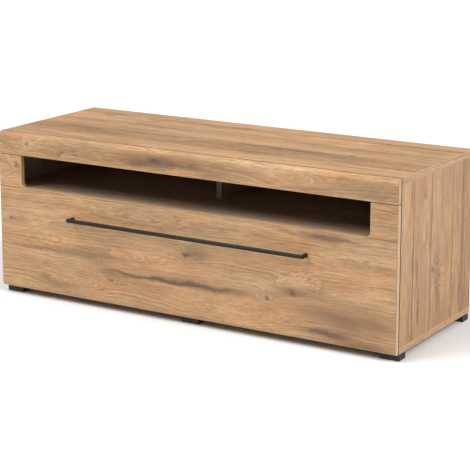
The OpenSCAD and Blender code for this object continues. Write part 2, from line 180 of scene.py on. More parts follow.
def quads_between_rings(rings, sides):
    """Corner numbers of the quads between neighbouring rings, each ring having the same sides."""
    ring, side = np.meshgrid(np.arange(rings - 1), np.arange(sides), indexing="ij")
    following = (side + 1) % sides
    quads = np.stack([ring * sides + side, ring * sides + following,
                      (ring + 1) * sides + following, (ring + 1) * sides + side], -1)
    return quads.reshape(-1, 4)


def stand_in(piece, body, slot, *nodes):
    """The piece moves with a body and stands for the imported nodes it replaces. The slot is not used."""
    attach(piece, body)
    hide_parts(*nodes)
    return piece


print("mesh helpers ready")

# %% [markdown]
# ## A rounded board
#
# A chipboard board has a glued edge band, and its corner is milled to a radius of about a
# millimetre. That small round catches the light and draws a thin bright line round each board, and the
# oak finish adds a painted highlight on it as well. A cube with a Bevel modifier would give the shape,
# but here the board is a rounded rectangle carried along the grain. The rectangle shrinks along a quarter
# circle at both ends, and the distance round it becomes the map's second number, so that the figure wraps
# over every long edge.

# %% Carry a rounded rectangle along the grain
ROUND_STEPS = 4
EDGE_ROUND = 1.1 * MM
CRISP_ROUND = 0.4 * MM
LARGE_ROUND = 3 * MM


def arc_steps(radius):
    """A large round gets three times the steps of a small one."""
    return ROUND_STEPS if radius < LARGE_ROUND else 3 * ROUND_STEPS


def quarter(centre, radius, start, steps=ROUND_STEPS):
    """Points on a quarter circle: centre + radius * (cos a, sin a) for a from start to start + 90."""
    angle = math.radians(start) + np.linspace(0, math.pi / 2, steps + 1)
    return np.array(centre) + radius * np.stack([np.cos(angle), np.sin(angle)], -1)


def rounded_outline(low, high, radii, inset):
    """A rectangle with four rounded corners, drawn inset inside its edges. A corner's centre stays
    where it is, and its radius shrinks by the inset, so that all insets share their directions."""
    outline = []
    for corner, radius in enumerate(radii):
        right, upper = corner in (1, 2), corner in (2, 3)
        centre = (high[0] - radius if right else low[0] + radius,
                  high[1] - radius if upper else low[1] + radius)
        outline.append(quarter(centre, max(radius - inset, 1e-5), 180 + 90 * corner, arc_steps(radius)))
    return np.concatenate(outline)


def end_stations(start, stop, radius, steps=ROUND_STEPS):
    """Places along the board and the inset there: both ends follow a quarter circle."""
    angle = np.linspace(0, math.pi / 2, steps + 1)
    place, inset = radius * (1 - np.cos(angle)), radius * (1 - np.sin(angle))
    return np.concatenate([start + place, (stop - place)[::-1]]), np.concatenate([inset, inset[::-1]])


def carried_board(name, low, high, along, across, finishes, radii=None, flip=False,
                  end_round=EDGE_ROUND, end_band=0.0, rims=(1.0, 1.0), raw_front=False):
    """A board from corner to corner, with its grain along one axis. The show face lies across the
    second axis at the third one's low side, or at its high side with flip. On the show face the map
    holds the two coordinates themselves, in metres. The number for the two end faces gives their pale band
    with a painted highlight; the two rim numbers set their small rounds beside the show face and beside the
    face behind it, a painted highlight above 0 and painted shade below 0. The front switch leaves the edge
    at the low end of the second axis without band and paints it dark, as the shade of the joint in front of
    it."""
    low, high = np.array(low, float), np.array(high, float)
    through = 3 - along - across
    radii = radii or (EDGE_ROUND,) * 4
    flat_low, flat_high = low[[across, through]], high[[across, through]]
    if flip:
        flat_low, flat_high = flat_low * [1, -1], flat_high * [1, -1]
        flat_low[1], flat_high[1] = flat_high[1], flat_low[1]
    places, insets = end_stations(low[along], high[along], end_round)
    outline = rounded_outline(flat_low, flat_high, radii, 0.0)
    sides = len(outline)
    rings = np.stack([rounded_outline(flat_low, flat_high, radii, inset) for inset in insets])
    points = np.empty((len(places), sides, 3))
    points[..., along] = places[:, None]
    points[..., across] = rings[..., 0]
    points[..., through] = rings[..., 1] * (-1 if flip else 1)

    step = np.linalg.norm(np.roll(outline, -1, 0) - outline, axis=1)
    distance = np.concatenate([[0], np.cumsum(step)])
    distance += flat_low[0] + radii[0] - distance[arc_steps(radii[0])]
    quads = quads_between_rings(len(places), sides)
    ring, side = np.divmod(np.arange(len(quads)), sides)
    corner_ring = np.stack([ring, ring, ring + 1, ring + 1], 1)
    corner_side = np.stack([side, side + 1, side + 1, side], 1)
    grain = np.stack([places[corner_ring], distance[corner_side]], -1)

    starts = np.cumsum([0] + [arc_steps(radius) + 1 for radius in radii])
    straight = np.isin(side, starts[1:] - 1)
    small = np.ones(sides, bool)
    for corner, radius in enumerate(radii):
        small[starts[corner]:starts[corner + 1]] = radius < LARGE_ROUND
    # Painted light: the end rounds and the small rounds along the board get a painted highlight; the end
    # rims take their own numbers, painted highlight or painted shade; the front switch paints the unbanded
    # front edge dark as the shade of the joint.
    at_end = (ring < ROUND_STEPS) | (ring >= len(places) - 1 - ROUND_STEPS)
    edge = at_end | (~straight & small[side])
    smooth = at_end | ~straight
    middle = (rings[ring, side, 0] + rings[ring, (side + 1) % sides, 0]) / 2
    for rim, corner in zip(rims, (1, 3)):
        edge = np.where(at_end & (side >= starts[corner] - 1) & (side < starts[corner + 1] - 1), rim, edge)
    edge = np.where(raw_front & (middle < flat_low[0] + 0.3 * MM), -1.0, edge)

    caps = [tuple(range(sides)), tuple(reversed(range((len(places) - 1) * sides, len(places) * sides)))]
    cap_grain = []
    for cap in caps:
        corner = points.reshape(-1, 3)[list(cap)]
        wide = corner[:, across]
        cap_grain.append(np.stack([wide + 3.0, corner[:, through] + 5.0], -1))
    faces = [tuple(q) for q in quads.tolist()] + caps
    return make_piece(
        name, points.reshape(-1, 3), faces, list(grain) + cap_grain,
        np.concatenate([smooth, [False, False]]), np.concatenate([edge, [end_band, end_band]]), finishes,
    )


def node_board(name, node, body, slot, along, across, finishes, **how):
    """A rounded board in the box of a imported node, which it stands for."""
    low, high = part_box(node)
    piece = carried_board(name, low, high, along, across, finishes, **how)
    return stand_in(piece, body, slot, node)


X, Y, Z = 0, 1, 2
print("board helper ready")

# %% [markdown]
# ## Short names for shader nodes
#
# A pattern is arithmetic on the map: numbers go in, numbers come out. The class below adds one node
# for each operation, so that a finish reads like a formula.

# %% A small language for patterns
class Finish:
    """A new material whose pattern is written as calls. Every call returns an output socket."""

    def __init__(self, name):
        self.material = bpy.data.materials.new(name)
        self.material.use_nodes = True
        self.tree = self.material.node_tree
        self.shader = self.tree.nodes["Principled BSDF"]

    def feed(self, socket, value):
        """Joins a socket to a value, or sets the value when it is a plain number, place or colour."""
        if isinstance(value, bpy.types.NodeSocket):
            self.tree.links.new(value, socket)
        else:
            socket.default_value = value

    def node(self, kind, **settings):
        made = self.tree.nodes.new("ShaderNode" + kind)
        for key, value in settings.items():
            setattr(made, key, value)
        return made

    def maths(self, operation, *values, clamp=False):
        made = self.node("Math", operation=operation, use_clamp=clamp)
        for socket, value in zip(made.inputs, values):
            self.feed(socket, value)
        return made.outputs[0]

    def vector(self, operation, *values, output=0):
        made = self.node("VectorMath", operation=operation)
        for socket, value in zip(made.inputs, values):
            self.feed(socket, value)
        return made.outputs[output]

    def place(self, x, y, z=0.0):
        made = self.node("CombineXYZ")
        for socket, value in zip(made.inputs, (x, y, z)):
            self.feed(socket, value)
        return made.outputs[0]

    def parts(self, vector):
        made = self.node("SeparateXYZ")
        self.feed(made.inputs[0], vector)
        return made.outputs

    def stretched(self, vector, scale):
        return self.vector("MULTIPLY", vector, scale)

    def noise(self, vector, detail=2.0, rough=0.5, scale=1.0, colour=False):
        made = self.node("TexNoise")
        self.feed(made.inputs["Vector"], vector)
        made.inputs["Scale"].default_value = scale
        made.inputs["Detail"].default_value = detail
        made.inputs["Roughness"].default_value = rough
        return made.outputs["Color" if colour else "Fac"]

    def line_noise(self, value, detail=2.0, rough=0.5):
        made = self.node("TexNoise", noise_dimensions="1D")
        self.feed(made.inputs["W"], value)
        made.inputs["Scale"].default_value = 1.0
        made.inputs["Detail"].default_value = detail
        made.inputs["Roughness"].default_value = rough
        return made.outputs["Fac"]

    def between(self, value, low, high, to_low=0.0, to_high=1.0):
        """The value's way from low to high, eased, as a number from to_low to to_high."""
        made = self.node("MapRange", interpolation_type="SMOOTHSTEP")
        for socket, given in zip(made.inputs, (value, low, high, to_low, to_high)):
            self.feed(socket, given)
        return made.outputs[0]

    def blend(self, amount, first, second):
        made = self.node("Mix", data_type="RGBA")
        self.feed(made.inputs[0], amount)
        self.feed(made.inputs[6], first)
        self.feed(made.inputs[7], second)
        return made.outputs[2]

    def ramp(self, value, *stops):
        made = self.node("ValToRGB")
        self.feed(made.inputs[0], value)
        elements = made.color_ramp.elements
        while len(elements) < len(stops):
            elements.new(0.5)
        for element, (position, colour) in zip(elements, stops):
            element.position = position
            element.color = (*colour, 1.0)
        return made.outputs[0]

    def bump(self, height, strength, depth):
        made = self.node("Bump")
        self.feed(made.inputs["Height"], height)
        made.inputs["Strength"].default_value = strength
        made.inputs["Distance"].default_value = depth
        self.feed(self.shader.inputs["Normal"], made.outputs[0])

    def set(self, **values):
        """Sets or joins sockets of the shader, named with _ for a space."""
        for key, value in values.items():
            self.feed(self.shader.inputs[key.replace("_", " ")], value)


print("pattern language ready")

# %% [markdown]
# ## Knotty oak decor
#
# The boards carry a printed and embossed oak decor: planks a hand wide with different tones, growth
# lines that swell around knots, smoky brown patches, pale mottled patches and short dark pores.
# Growth lines are level lines of one number, here the place across the fibre. Adding a smooth hill
# to that number bends the lines around the hill's foot and closes them in rings on its top, which
# is just how a knot or an arched figure looks in real wood. So each board has short lists of hills,
# knots, smoky streaks and pale patches, in metres on its own show face.

# %% The oak finish
LATE_WOOD = (0.205, 0.108, 0.050)
MID_WOOD = (0.425, 0.244, 0.117)
EARLY_WOOD = (0.605, 0.376, 0.197)
SMOKE = (0.135, 0.085, 0.052)
KNOT_HEART = (0.080, 0.050, 0.034)
# The pale band colour is also a painted highlight on small rounds; the dark edge colour is painted shade on
# rims and on the joint behind the front.
BAND_AND_PAINTED_HIGHLIGHT = (0.640, 0.455, 0.300)
PAINTED_EDGE_SHADE = (0.130, 0.076, 0.045)
LINES_PER_METRE = 140.0


def hill(finish, place, centre, size):
    """A smooth hill exp(-(du/length)^2 - (dv/width)^2) around a centre on the map."""
    offset = finish.vector("SUBTRACT", place, (*centre, 0.0))
    scaled = finish.vector("MULTIPLY", offset, (1 / size[0], 1 / size[1], 0.0))
    return finish.maths("EXPONENT", finish.maths("MULTIPLY", finish.vector(
        "DOT_PRODUCT", scaled, scaled, output=1), -1.0))


def add_up(finish, values):
    """The sum of several sockets, each with its own weight."""
    total = 0.0
    for value, weight in values:
        total = finish.maths("MULTIPLY_ADD", value, weight, total)
    return total


def oak(name, seed, joints=(), joint_width=2.4 * MM, hills=(), knots=(), smoke=(), pale=(), tone=0.0,
        painted_inside_shade=0.0, painted_inside_shade_from=-9.0):
    """Oak decor on the grain map. joints are places across the fibre. The lists hold
    (along, across, length, width, amount), in metres except for the amount. The last two arguments
    paint shade: faces that look into the case are greyed by the first, and on the map they lie past the
    second."""
    finish = Finish(name)
    grain = finish.node("UVMap", uv_map="grain").outputs[0]
    along, across, _ = finish.parts(grain)

    plank = float(seed)
    seam = 0.0
    for joint in joints:
        plank = finish.maths("ADD", finish.maths("GREATER_THAN", across, joint), plank)
        gap = finish.maths("ABSOLUTE", finish.maths("SUBTRACT", across, joint))
        seam = finish.maths("MAXIMUM", finish.between(gap, joint_width, 0.25 * joint_width), seam)
    pick = finish.node("TexWhiteNoise", noise_dimensions="1D")
    finish.feed(pick.inputs["W"], plank)
    plank_tone = pick.outputs["Value"]
    shift, sway, _ = finish.parts(pick.outputs["Color"])
    plank_grain = finish.place(finish.maths("MULTIPLY_ADD", shift, 7.0, along), across,
                               finish.maths("MULTIPLY", sway, 9.0))

    drift = finish.noise(finish.stretched(plank_grain, (1.6, 7.0, 1.0)), detail=2.0)
    ripple = finish.noise(finish.stretched(plank_grain, (9.0, 38.0, 1.0)), detail=2.0)
    slow = finish.noise(finish.stretched(grain, (12.0, 24.0, 1.0)), detail=2.0, colour=True)
    quick = finish.noise(finish.stretched(grain, (60.0, 95.0, 1.0)), detail=2.0, colour=True)
    shaken = finish.vector("MULTIPLY_ADD", finish.vector("SUBTRACT", slow, (0.5, 0.5, 0.5)),
                           (0.050, 0.022, 0.0), grain)
    shaken = finish.vector("MULTIPLY_ADD", finish.vector("SUBTRACT", quick, (0.5, 0.5, 0.5)),
                           (0.024, 0.009, 0.0), shaken)

    lines = finish.maths("MULTIPLY", across, LINES_PER_METRE)
    lines = add_up(finish, [(drift, 9.0), (ripple, 2.2), (lines, 1.0)])
    heart = 0.0
    for u, v, length, width, amount in hills:
        lines = finish.maths("MULTIPLY_ADD", hill(finish, shaken, (u, v), (length, width)), amount, lines)
    for u, v, length, width, amount in knots:
        core = hill(finish, shaken, (u, v), (length, width))
        wide = hill(finish, shaken, (u, v), (3.2 * length, 2.6 * width))
        lines = finish.maths("MULTIPLY_ADD", wide, 5.0, lines)
        heart = finish.maths("MAXIMUM", finish.maths("MULTIPLY", core, amount), heart)

    growth = finish.line_noise(lines, detail=3.0, rough=0.75)
    broad = finish.line_noise(finish.maths("MULTIPLY", lines, 0.17), detail=1.0)
    fibre = finish.noise(finish.stretched(plank_grain, (9.0, 420.0, 1.0)), detail=3.0, rough=0.6)
    short = finish.noise(finish.stretched(plank_grain, (24.0, 210.0, 1.0)), detail=2.0, rough=0.6)
    cloud = finish.noise(finish.stretched(plank_grain, (2.6, 12.0, 1.0)), detail=3.0)
    mottle = finish.noise(finish.stretched(shaken, (10.0, 42.0, 1.0)), detail=3.0, rough=0.6)
    flame = finish.noise(finish.stretched(shaken, (55.0, 150.0, 1.0)), detail=2.0)
    pale_amount = 0.0
    for u, v, length, width, amount in pale:
        pale_amount = finish.maths("MULTIPLY_ADD", hill(finish, shaken, (u, v), (length, width)),
                                   amount, pale_amount)
    lit = add_up(finish, [
        (growth, 0.85), (broad, 0.35), (fibre, 0.35), (short, 0.65), (cloud, 0.45), (mottle, 0.40),
        (plank_tone, 0.24), (finish.maths("MULTIPLY", flame, pale_amount), 0.9), (pale_amount, -0.30),
    ])
    lit = finish.maths("ADD", lit, -1.15 + tone)
    colour = finish.ramp(lit, (0.12, LATE_WOOD), (0.50, MID_WOOD), (0.88, EARLY_WOOD))
    hue = finish.noise(finish.stretched(plank_grain, (4.0, 17.0, 3.0)), detail=2.0)
    tint = finish.blend(finish.between(hue, 0.34, 0.66), (1.04, 0.98, 0.93, 1.0), (0.97, 1.00, 1.03, 1.0))
    colour = finish.vector("MULTIPLY", colour, tint)

    smoky = 0.0
    for u, v, length, width, amount in smoke:
        smoky = finish.maths("MULTIPLY_ADD", hill(finish, shaken, (u, v), (length, width)), amount, smoky)
    haze = finish.between(finish.noise(finish.stretched(plank_grain, (3.4, 24.0, 1.0)), detail=4.0),
                          0.52, 0.76, 0.0, 0.34)
    streaked = finish.maths("MULTIPLY_ADD", add_up(finish, [(growth, 0.6), (short, 0.9)]), 1.2, 0.05)
    smoky = finish.maths("MULTIPLY", finish.maths("ADD", smoky, haze), streaked, clamp=True)
    colour = finish.blend(smoky, colour, (*SMOKE, 1.0))
    colour = finish.blend(finish.between(heart, 0.12, 0.85, 0.0, 0.75), colour, (*KNOT_HEART, 1.0))

    pore = finish.noise(finish.stretched(plank_grain, (75.0, 1500.0, 1.0)), detail=1.0)
    pore = finish.between(pore, 0.62, 0.74, 0.0, 0.5)
    colour = finish.blend(pore, colour, (0.16, 0.083, 0.042, 1.0))
    colour = finish.blend(finish.maths("MULTIPLY", seam, 0.75), colour, (0.12, 0.065, 0.035, 1.0))
    # The face number paints light into the colour: above 0 toward the pale band colour, a painted highlight
    # on the rounds; below 0 toward a dark brown that is painted shade.
    band = finish.node("Attribute", attribute_type="GEOMETRY", attribute_name="band_and_painted_light").outputs["Fac"]
    colour = finish.blend(finish.maths("MULTIPLY", band, 0.60, clamp=True), colour, (*BAND_AND_PAINTED_HIGHLIGHT, 1.0))
    colour = finish.blend(finish.maths("MULTIPLY", band, -0.85, clamp=True), colour, (*PAINTED_EDGE_SHADE, 1.0))
    # Painted shade: the faces inside the case go toward a dark grey.
    if painted_inside_shade:
        inner = finish.between(across, painted_inside_shade_from, painted_inside_shade_from + 4 * MM, 0.0, painted_inside_shade)
        colour = finish.blend(inner, colour, (0.150, 0.136, 0.128, 1.0))

    finish.set(Base_Color=colour, Roughness=finish.between(growth, 0.2, 0.8, 0.60, 0.46))
    finish.set(Specular_IOR_Level=0.35)
    height = add_up(finish, [(fibre, 0.5), (pore, -0.8), (growth, 0.25), (seam, -0.7)])
    finish.bump(height, 0.35, 0.25 * MM)
    return finish.material


oak_plain = oak("oak_plain", 11, joints=(-0.13, -0.02, 0.13))
# A shaded copy of the plain oak for the niche boards: a darker tone and a painted grey shade over the whole
# board.
oak_niche_painted_shade = oak("oak_niche_painted_shade", 17, joints=(-0.13, -0.02, 0.13), tone=-0.05, painted_inside_shade=0.55)
print("oak nodes in one board:", len(oak_plain.node_tree.nodes))

# %% [markdown]
# ## Top, bottom, sides and inner boards
#
# The grain runs along the cabinet on the flat boards and up the sides, as in the real one, where
# every board is cut from the same sheet. The lower board shows only its long front edge and its
# ends, but it is seen from behind and below too.

# %% Cut the case boards
oak_top = oak(
    "oak_top", 3, joints=(-0.125, -0.022, 0.082, 0.190), joint_width=2.6 * MM,
    hills=((-0.26, -0.06, 0.16, 0.03, 7), (0.12, -0.10, 0.10, 0.02, 6), (0.43, -0.02, 0.09, 0.02, 5),
           (0.30, 0.13, 0.20, 0.03, 8), (-0.45, 0.15, 0.18, 0.03, 7)),
    knots=((0.430, -0.014, 0.012, 0.009, 0.8), (0.452, 0.190, 0.014, 0.009, 0.9),
           (0.120, -0.105, 0.012, 0.007, 0.8), (-0.245, -0.055, 0.010, 0.008, 0.5)),
    smoke=((-0.27, 0.078, 0.14, 0.012, 0.55), (0.13, -0.022, 0.15, 0.010, 0.50),
           (0.29, -0.026, 0.13, 0.011, 0.55), (0.57, 0.190, 0.13, 0.012, 0.50),
           (-0.40, -0.06, 0.22, 0.05, 0.32), (-0.36, 0.01, 0.16, 0.016, 0.30),
           (0.17, -0.108, 0.08, 0.010, 0.50), (-0.10, 0.175, 0.18, 0.014, 0.45),
           (0.05, 0.110, 0.16, 0.010, 0.40), (0.45, 0.070, 0.14, 0.012, 0.40)),
    pale=((0.20, 0.03, 0.20, 0.03, 0.5), (0.62, -0.12, 0.12, 0.05, 0.6)),
)
# The sides' inner faces, past 0.275 m round the outline, are greyed with painted shade.
oak_side = oak(
    "oak_side", 7, joints=(-0.135, -0.018, 0.128, 0.196), joint_width=3.6 * MM, tone=-0.02,
    painted_inside_shade=0.65, painted_inside_shade_from=0.275,
    hills=((0.20, 0.01, 0.09, 0.03, 7), (0.36, -0.08, 0.12, 0.03, 5), (0.13, 0.12, 0.10, 0.02, 4)),
    knots=((0.214, 0.000, 0.012, 0.009, 0.8), (0.192, 0.045, 0.010, 0.008, 0.6),
           (0.292, -0.022, 0.009, 0.005, 0.7)),
    smoke=((0.116, -0.097, 0.060, 0.006, 0.85), (0.232, -0.108, 0.05, 0.005, 0.55),
           (0.270, -0.139, 0.05, 0.006, 0.45), (0.110, 0.184, 0.06, 0.005, 0.75),
           (0.160, -0.060, 0.10, 0.03, 0.25), (0.130, 0.02, 0.09, 0.02, 0.25)),
    pale=((0.36, 0.06, 0.12, 0.05, 0.6), (0.16, 0.06, 0.06, 0.03, 0.6)),
)

# The top's end rims get a painted highlight beside its upper face and painted shade beside its lower face;
# the unbanded front edges of top, bottom and sides are painted dark as the shade of the joint behind the
# front.
case_boards = [
    node_board("top_board", "top_panel", "carcass", "oak_board", X, Y, [oak_top], flip=True,
               radii=(CRISP_ROUND,) * 4, end_band=0.2, rims=(1.0, -0.7), raw_front=True),
    node_board("bottom_board", "bottom_panel", "carcass", "oak_board", X, Y, [oak_plain],
               end_band=0.2, raw_front=True),
    node_board("left_side_board", "left_side", "carcass", "oak_board", Z, Y, [oak_side],
               raw_front=True),
    node_board("right_side_board", "right_side", "carcass", "oak_board", Z, Y, [oak_side], flip=True,
               raw_front=True),
    node_board("shelf_board", "niche_shelf", "carcass", "oak_board", X, Y, [oak_niche_painted_shade], flip=True),
    node_board("divider_board", "niche_divider", "carcass", "oak_board", Z, Y, [oak_niche_painted_shade]),
]
print("case boards:", [piece.name for piece in case_boards])

# %% [markdown]
# ## The top rail
#
# The rail closes the front above the niche. Its upper front edge is a large soft round that lies
# flush with the top board. It is the same carried rectangle, with one big corner.

# %% Shape the rail
FRONT_ROUND = 17 * MM
oak_rail = oak(
    "oak_rail", 5, tone=0.02,
    hills=((-0.585, 0.480, 0.060, 0.018, 6), (-0.48, 0.460, 0.05, 0.012, 4),
           (0.36, 0.480, 0.11, 0.022, 9), (0.22, 0.505, 0.08, 0.015, 4), (-0.30, 0.47, 0.12, 0.015, 4)),
    knots=((-0.105, 0.492, 0.018, 0.010, 0.7), (-0.580, 0.488, 0.006, 0.005, 0.6)),
    smoke=((-0.10, 0.490, 0.085, 0.020, 0.80), (-0.17, 0.474, 0.05, 0.012, 0.60),
           (0.02, 0.480, 0.10, 0.010, 0.70), (0.10, 0.462, 0.08, 0.008, 0.45),
           (0.62, 0.470, 0.09, 0.012, 0.35)),
    pale=((-0.57, 0.49, 0.14, 0.03, 0.9), (0.00, 0.468, 0.05, 0.010, 0.9),
          (0.40, 0.513, 0.07, 0.012, 0.9)),
)
# The rail's end faces are the pale band with a painted highlight; their rims get painted shade beside the
# front face and a painted highlight beside the back.
rail = node_board("top_rail_board", "top_rail", "carcass", "oak_board", X, Z, [oak_rail],
                  radii=(EDGE_ROUND, FRONT_ROUND, CRISP_ROUND, EDGE_ROUND), end_band=0.75,
                  rims=(-0.5, 1.0))

# %% [markdown]
# ## The drawer front
#
# One board with a wide U cut out of it: the two ears beside the niche belong to the drawer and slide
# out with it. The cut-out's lower corners are round because a milling cutter made them, and the
# board's lower front edge has the same large round as the rail. Here the outline is carried through
# the board's thickness. It shrinks by a millimetre's quarter circle at each face, while its lower edge
# follows the large round.

# %% Shape the drawer front
CUTOUT_HALF = 606 * MM
CUTOUT_FLOOR = 348 * MM
CUTOUT_ROUND = 16 * MM


def cut_outline(low, high, inset, lift):
    """The U as seen from the front: outer corners of radius EDGE_ROUND, cut-out corners of radius
    CUTOUT_ROUND that curve the other way. lift raises the lower edge."""
    radius = max(EDGE_ROUND - inset, 1e-5)
    left, right = low[X] + EDGE_ROUND, high[X] - EDGE_ROUND
    lower, upper = low[Z] + EDGE_ROUND + lift, high[Z] - EDGE_ROUND
    hollow = CUTOUT_ROUND + inset
    near, floor_centre = CUTOUT_HALF - CUTOUT_ROUND, CUTOUT_FLOOR + CUTOUT_ROUND
    ear = CUTOUT_HALF + EDGE_ROUND
    return np.concatenate([
        quarter((left, lower), radius, 180), quarter((right, lower), radius, 270),
        quarter((right, upper), radius, 0), quarter((ear, upper), radius, 90),
        quarter((near, floor_centre), hollow, -90, 3 * ROUND_STEPS)[::-1],
        quarter((-near, floor_centre), hollow, 180, 3 * ROUND_STEPS)[::-1],
        quarter((-ear, upper), radius, 0), quarter((left, upper), radius, 90),
    ])


def drawer_front_board(finish):
    """Rings of the outline from the show face to the back face, closed by the two faces."""
    low, high = (np.array(corner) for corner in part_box("drawer_front"))
    thick = high[Y] - low[Y]
    turn = np.linspace(0, math.pi / 2, 3 * ROUND_STEPS + 1)
    small = np.linspace(0, math.pi / 2, ROUND_STEPS + 1)
    depth = np.unique(np.round(np.concatenate([
        FRONT_ROUND * (1 - np.cos(turn)), EDGE_ROUND * (1 - np.cos(small)),
        thick - EDGE_ROUND * (1 - np.cos(small))]), 7))
    near_face = np.clip(1 - np.minimum(depth, thick - depth) / EDGE_ROUND, 0, 1)
    inset = EDGE_ROUND * (1 - np.sqrt(1 - near_face**2))
    into_round = np.clip(1 - depth / FRONT_ROUND, 0, 1)
    lift = np.where(depth < FRONT_ROUND, FRONT_ROUND * (1 - np.sqrt(1 - into_round**2)) - inset, 0.0)
    rings = np.stack([cut_outline(low, high, i, up) for i, up in zip(inset, np.maximum(lift, 0))])
    sides = rings.shape[1]
    points = np.empty((len(depth), sides, 3))
    points[..., X], points[..., Z] = rings[..., 0], rings[..., 1]
    points[..., Y] = low[Y] + depth[:, None]

    steps = np.linalg.norm(np.roll(rings[-3], -1, 0) - rings[-3], axis=1)
    round_way = np.concatenate([[0], np.cumsum(steps)])
    down_round = np.concatenate([[0], np.cumsum(np.hypot(np.diff(depth), np.diff(rings[:, 0, 1])))])
    quads = quads_between_rings(len(depth), sides)
    ring, side = np.divmod(np.arange(len(quads)), sides)
    corner_side = np.stack([side, side + 1, side + 1, side], 1)
    corner_ring = np.stack([ring, ring, ring + 1, ring + 1], 1)
    on_bottom = side == ROUND_STEPS
    wall = np.stack([round_way[corner_side], 2.0 + depth[corner_ring]], -1)
    bottom = np.stack([points[corner_ring, corner_side % sides, X],
                       low[Z] + FRONT_ROUND - down_round[corner_ring]], -1)
    grain = np.where(on_bottom[:, None, None], bottom, wall)

    curved = steps[side] < LARGE_ROUND
    at_face = (depth[ring + 1] <= EDGE_ROUND * 1.001) | (depth[ring] >= thick - EDGE_ROUND * 1.001)
    smooth = curved | at_face | on_bottom
    # Painted light on the front: the small rounds at both faces get a painted highlight, and the bottom
    # round gets one only at the back; at the two outer ends the rim by the show face gets painted shade, the
    # back rim a painted highlight, and the end face the pale band with a painted highlight.
    back_rim = depth[ring] >= thick - EDGE_ROUND * 1.001
    edge = np.where(on_bottom, back_rim, at_face).astype(float)
    upright = abs(points[ring, side, X]) > high[X] - EDGE_ROUND * 1.5
    edge = np.where(upright & ~on_bottom, np.where(back_rim, 1.0, np.where(at_face, -0.5, 0.75)), edge)
    flat = points.reshape(-1, 3)
    caps = [tuple(reversed(range(sides))), tuple(range((len(depth) - 1) * sides, len(depth) * sides))]
    cap_grain = [flat[list(caps[0])][:, [X, Z]], flat[list(caps[1])][:, [X, Z]] + [1.7, 0.6]]
    return make_piece(
        "drawer_front_board", flat, [tuple(q) for q in quads.tolist()] + caps, list(grain) + cap_grain,
        np.concatenate([smooth, [False, False]]), np.concatenate([edge, [0, 0]]), [finish],
    )


oak_front = oak(
    "oak_front", 2, joints=(CUTOUT_FLOOR - 1 * MM,),
    hills=((-0.560, 0.235, 0.060, 0.018, 5), (-0.300, 0.140, 0.050, 0.026, 6),
           (-0.190, 0.178, 0.080, 0.016, 6), (0.150, 0.062, 0.140, 0.032, 10),
           (0.390, 0.180, 0.080, 0.026, 7), (-0.420, 0.060, 0.120, 0.022, 6),
           (-0.180, 0.300, 0.160, 0.020, 6), (0.560, 0.250, 0.090, 0.020, 5),
           (0.480, 0.322, 0.090, 0.012, 4)),
    knots=((0.002, 0.215, 0.013, 0.009, 1.0), (-0.648, 0.247, 0.010, 0.007, 0.9),
           (0.283, 0.128, 0.009, 0.008, 0.9), (0.360, 0.156, 0.016, 0.010, 0.6),
           (-0.618, 0.414, 0.012, 0.010, 0.8), (-0.274, 0.101, 0.012, 0.005, 0.7)),
    smoke=((0.035, 0.222, 0.060, 0.014, 0.65), (-0.545, 0.165, 0.150, 0.006, 0.60),
           (-0.330, 0.172, 0.120, 0.011, 0.60), (-0.120, 0.128, 0.170, 0.006, 0.95),
           (-0.030, 0.134, 0.130, 0.014, 0.50), (0.120, 0.128, 0.110, 0.008, 0.75),
           (0.450, 0.329, 0.070, 0.010, 0.85), (0.540, 0.326, 0.060, 0.006, 0.60),
           (0.460, 0.053, 0.080, 0.011, 0.90), (0.590, 0.036, 0.100, 0.014, 0.75),
           (-0.450, 0.062, 0.080, 0.013, 0.50), (0.480, 0.110, 0.170, 0.034, 0.42),
           (0.590, 0.090, 0.130, 0.030, 0.40), (0.360, 0.158, 0.040, 0.016, 0.60),
           (0.590, 0.262, 0.110, 0.014, 0.35), (-0.270, 0.118, 0.045, 0.012, 0.55),
           (-0.630, 0.245, 0.040, 0.014, 0.45)),
    pale=((0.370, 0.198, 0.090, 0.022, 1.0), (-0.500, 0.195, 0.120, 0.028, 0.9),
          (0.620, 0.200, 0.060, 0.018, 0.9), (-0.100, 0.196, 0.080, 0.020, 0.8),
          (0.500, 0.278, 0.080, 0.012, 0.7), (-0.380, 0.320, 0.140, 0.020, 0.6),
          (-0.655, 0.400, 0.060, 0.050, 1.0)),
)
front = stand_in(drawer_front_board(oak_front), "drawer", "oak_board", "drawer_front")
print("drawer front faces:", len(front.data.polygons))

# %% [markdown]
# ## The handle
#
# A slim square bar on two short posts, in satin anthracite metal. The brush marks run along the
# bar, so its reflections stretch across them.

# %% Shape and finish the handle
def brushed_metal(name, base, rough):
    """Satin metal with brush marks along the fibre direction of the map and faint cloudy wear."""
    finish = Finish(name)
    grain = finish.node("UVMap", uv_map="grain").outputs[0]
    marks = finish.noise(finish.stretched(grain, (30.0, 5200.0, 1.0)), detail=2.0)
    cloud = finish.noise(finish.stretched(grain, (18.0, 60.0, 1.0)), detail=3.0)
    finish.set(
        Base_Color=finish.blend(cloud, (*[0.86 * c for c in base], 1.0), (*[1.12 * c for c in base], 1.0)),
        Roughness=finish.maths("ADD", finish.between(marks, 0.3, 0.7, rough - 0.05, rough + 0.06),
                               finish.between(cloud, 0.3, 0.7, -0.02, 0.03)),
        Metallic=1.0,
    )
    finish.bump(marks, 0.12, 0.05 * MM)
    return finish.material


